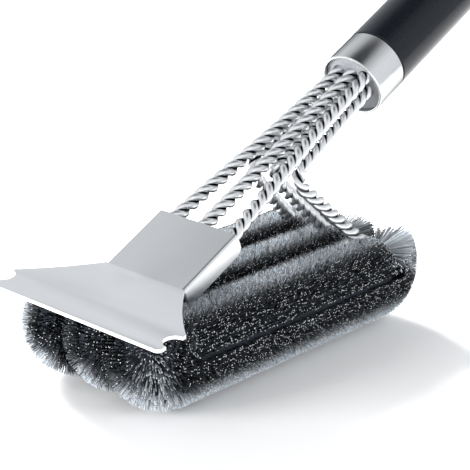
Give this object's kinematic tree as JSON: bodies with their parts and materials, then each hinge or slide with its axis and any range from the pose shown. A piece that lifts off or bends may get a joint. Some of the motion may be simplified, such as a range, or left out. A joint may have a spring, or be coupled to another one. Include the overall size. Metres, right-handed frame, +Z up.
{
  "type": "grill cleaning brush",
  "caption": "Grill brush with rows of wire bristles bent round twisted stems, a folded steel scraper with rod notches, a round black handle and a hanging loop.",
  "frame": {"origin": "centre of the bounding box in plan, on the ground that the bristles stand on", "axes": "+X from the scraper to the end of the handle, +Y across the rows, from the left row to the right one, +Z up"},
  "size_m": [0.4104, 0.0816, 0.2279],
  "materials": {
    "blade_steel": "satin, with bright cut edges",
    "wire_steel": "bright drawn wire",
    "bristle_steel": "fine stainless filaments, dark between them",
    "sleeve_steel": "polished, with lengthwise reflections",
    "plug_plastic": "grey, dull",
    "seam_rubber": "black, dull",
    "grip_plastic": "black, semi-gloss"
  },
  "bodies": {
    "brush": {"scraper": "blade_steel", "clamp_plate": "blade_steel", "left_stem_wire_a": "wire_steel", "left_stem_wire_b": "wire_steel", "middle_stem_wire_a": "wire_steel", "middle_stem_wire_b": "wire_steel", "right_stem_wire_a": "wire_steel", "right_stem_wire_b": "wire_steel", "left_bristles": "bristle_steel", "middle_bristles": "bristle_steel", "right_bristles": "bristle_steel", "ferrule": "sleeve_steel", "stem_block": "plug_plastic", "anchor_plate": "wire_steel", "block_pin": "wire_steel", "seam_ring": "seam_rubber", "grip": "grip_plastic", "end_cap": "sleeve_steel", "end_plug": "plug_plastic", "hang_eye": "wire_steel", "eye_nut": "wire_steel"},
    "loop": {"hang_loop": "wire_steel"}
  },
  "joints": [
    {"name": "loop_hinge", "type": "hinge", "parent": "brush", "child": "loop", "pos_m": [0.20116, 0, 0.21875], "axis": [0, 1, 0], "range_deg": [-242, 8]}
  ]
}
